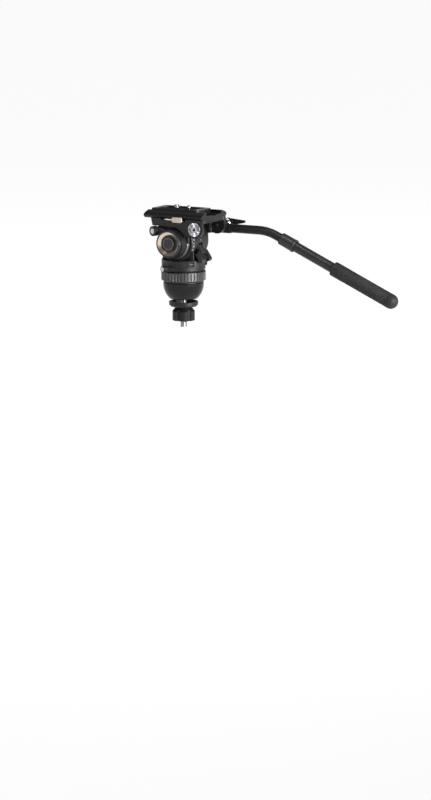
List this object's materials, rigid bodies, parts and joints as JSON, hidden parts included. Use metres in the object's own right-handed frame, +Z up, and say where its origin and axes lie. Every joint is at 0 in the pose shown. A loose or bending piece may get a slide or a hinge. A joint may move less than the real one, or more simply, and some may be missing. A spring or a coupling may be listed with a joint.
{
  "type": "fluid video head",
  "caption": "Fluid video head on a half ball: pans and tilts with drag, with counterbalance selector, sliding camera plate, lock levers and a telescopic pan bar.",
  "frame": {"origin": "centre of the half ball that sits in the tripod's bowl", "axes": "+Z up along the pan axis, +Y to the operator at the rear (the lens looks along -Y), +X to the operator's left"},
  "size_m": [0.1483, 0.4634, 0.2257],
  "materials": {
    "black_metal": "black anodised, satin",
    "housing_metal": "black anodised, satin",
    "ring_grip": "knurled dark grey grip",
    "lever_black": "black coated casting",
    "silver_metal": "bright turned",
    "champagne_metal": "champagne anodised, bright cut",
    "steel": "plain steel",
    "black_steel": "black oxide steel",
    "spring_steel": "bright zinc wire",
    "black_plastic": "moulded, fine grain",
    "badge_plastic": "dark disc",
    "damper_plastic": "plain moulded discs",
    "rubber_black": "moulded rubber",
    "vial_glass": "clear vial with green spirit",
    "window_clear": "clear cover"
  },
  "bodies": {
    "base": {"half_ball": "black_metal", "pan_base": "black_metal", "base_screws": "steel", "tie_down_stud": "steel", "pan_stator_discs": "damper_plastic", "pan_lock_nut": "steel"},
    "tie_cup": {"tie_down_cup": "black_metal"},
    "tie_knob": {"tie_down_knob": "black_plastic"},
    "drag_ring": {"pan_drag_ring": "ring_grip"},
    "pan": {"pan_rotor_discs": "damper_plastic", "pan_bearing": "steel", "pan_seal": "rubber_black", "pan_housing": "housing_metal", "level_vial": "vial_glass", "level_window": "window_clear", "tilt_housing": "housing_metal", "housing_screws": "black_steel", "drum_cover_left": "black_metal", "drum_cover_right": "black_metal", "tilt_bearings": "steel", "tilt_stator_discs": "damper_plastic", "counterbalance_springs": "steel"},
    "light_button": {"level_light_button": "black_plastic"},
    "pan_lever": {"pan_lock_lever": "lever_black", "pan_lever_cap": "silver_metal"},
    "selector": {"wing_knob": "black_plastic", "selector_shaft": "steel"},
    "tilt": {"tilt_shaft": "steel", "tilt_rotor_discs": "damper_plastic", "tilt_carriage": "housing_metal", "carriage_side_left": "housing_metal", "carriage_side_right": "housing_metal", "carriage_dowels": "steel", "platform": "black_metal", "platform_screws": "black_steel", "rosette_left": "silver_metal", "rosette_right": "silver_metal", "right_cap": "black_metal", "lever_stop_pin": "black_steel"},
    "tilt_lever": {"tilt_lock_lever": "lever_black", "tilt_lever_cap": "silver_metal"},
    "drag_knob": {"tilt_drag_knob": "black_plastic", "knob_trim_ring": "champagne_metal", "knob_badge": "badge_plastic"},
    "plate_lock": {"plate_lock_lever": "silver_metal", "plate_lock_tab": "champagne_metal"},
    "jaw": {"plate_clamp_jaw": "steel"},
    "plate": {"camera_plate": "black_metal", "plate_pads": "rubber_black"},
    "screw_small": {"camera_screw_small": "steel"},
    "screw_large": {"camera_screw_large": "steel"},
    "bar": {"bar_rosette": "silver_metal", "bar_hub": "lever_black", "bar_arm": "black_metal", "clamp_spring": "spring_steel"},
    "clamp": {"clamp_bolt": "steel", "clamp_lever": "black_plastic"},
    "extension": {"extension_tube": "black_metal", "grip": "rubber_black"},
    "collar": {"lock_collar": "black_plastic"}
  },
  "joints": [
    {"name": "tie_cup_slide", "type": "slide", "parent": "base", "child": "tie_cup", "axis": [0, 0, 1], "range_m": [-0.0071, 0.0053]},
    {"name": "tie_knob_turn", "type": "hinge", "parent": "tie_cup", "child": "tie_knob", "pos_m": [0, 0, -0.05], "axis": [0, 0, 1], "range_deg": [-1440, 1080]},
    {"name": "pan_drag_turn", "type": "hinge", "parent": "base", "child": "drag_ring", "pos_m": [0, 0, 0.015], "axis": [0, 0, 1], "range_deg": [-60, 60]},
    {"name": "pan_turn", "type": "hinge", "parent": "base", "child": "pan", "pos_m": [0, 0, 0.03], "axis": [0, 0, 1], "continuous": true},
    {"name": "light_button_press", "type": "slide", "parent": "pan", "child": "light_button", "axis": [0.5, -0.866, 0], "range_m": [0, 0.0008], "stiffness_N_per_m": 400},
    {"name": "pan_lever_turn", "type": "hinge", "parent": "pan", "child": "pan_lever", "pos_m": [0, 0, 0.03], "axis": [0, 0, 1], "range_deg": [-35, 0]},
    {"name": "selector_turn", "type": "hinge", "parent": "pan", "child": "selector", "pos_m": [0, 0.033, 0.067], "axis": [0, 0.5592, -0.829], "range_deg": [-10, 10]},
    {"name": "tilt_turn", "type": "hinge", "parent": "pan", "child": "tilt", "pos_m": [0, 0, 0.079], "axis": [1, 0, 0], "range_deg": [-60, 70]},
    {"name": "tilt_lever_turn", "type": "hinge", "parent": "tilt", "child": "tilt_lever", "pos_m": [0, 0, 0.079], "axis": [1, 0, 0], "range_deg": [0, 16]},
    {"name": "drag_knob_turn", "type": "hinge", "parent": "tilt", "child": "drag_knob", "pos_m": [0, 0, 0.079], "axis": [1, 0, 0], "continuous": true},
    {"name": "plate_lock_turn", "type": "hinge", "parent": "tilt", "child": "plate_lock", "pos_m": [0.0365, -0.0166, 0.12], "axis": [0, 0, 1], "range_deg": [-60, 0]},
    {"name": "jaw_slide", "type": "slide", "parent": "tilt", "child": "jaw", "axis": [1, 0, 0], "range_m": [0, 0.000801]},
    {"name": "plate_slide", "type": "slide", "parent": "tilt", "child": "plate", "axis": [0, 1, 0], "range_m": [-0.025, 0.025]},
    {"name": "small_screw_turn", "type": "hinge", "parent": "plate", "child": "screw_small", "pos_m": [0, 0.012, 0.135], "axis": [0, 0, 1], "continuous": true},
    {"name": "large_screw_turn", "type": "hinge", "parent": "plate", "child": "screw_large", "pos_m": [0, -0.014, 0.135], "axis": [0, 0, 1], "continuous": true},
    {"name": "pan_bar_turn", "type": "hinge", "parent": "tilt", "child": "bar", "pos_m": [-0.05, 0.049, 0.107], "axis": [1, 0, 0], "range_deg": [-60, 80]},
    {"name": "clamp_lever_turn", "type": "hinge", "parent": "bar", "child": "clamp", "pos_m": [-0.085, 0.049, 0.107], "axis": [1, 0, 0], "range_deg": [-90, 90]},
    {"name": "bar_extension_slide", "type": "slide", "parent": "bar", "child": "extension", "axis": [0, 0.9135, -0.4067], "range_m": [-0.01, 0.08]},
    {"name": "lock_collar_turn", "type": "hinge", "parent": "extension", "child": "collar", "pos_m": [-0.0573, 0.1448, 0.0996], "axis": [0, 0.9135, -0.4067], "range_deg": [0, 90]}
  ],
  "couplings": [
    {"joint": "tie_cup_slide", "follows": "tie_knob_turn", "m_per_rad": 0.00027852},
    {"joint": "jaw_slide", "follows": "plate_lock_turn", "m_per_rad": -0.000764}
  ]
}
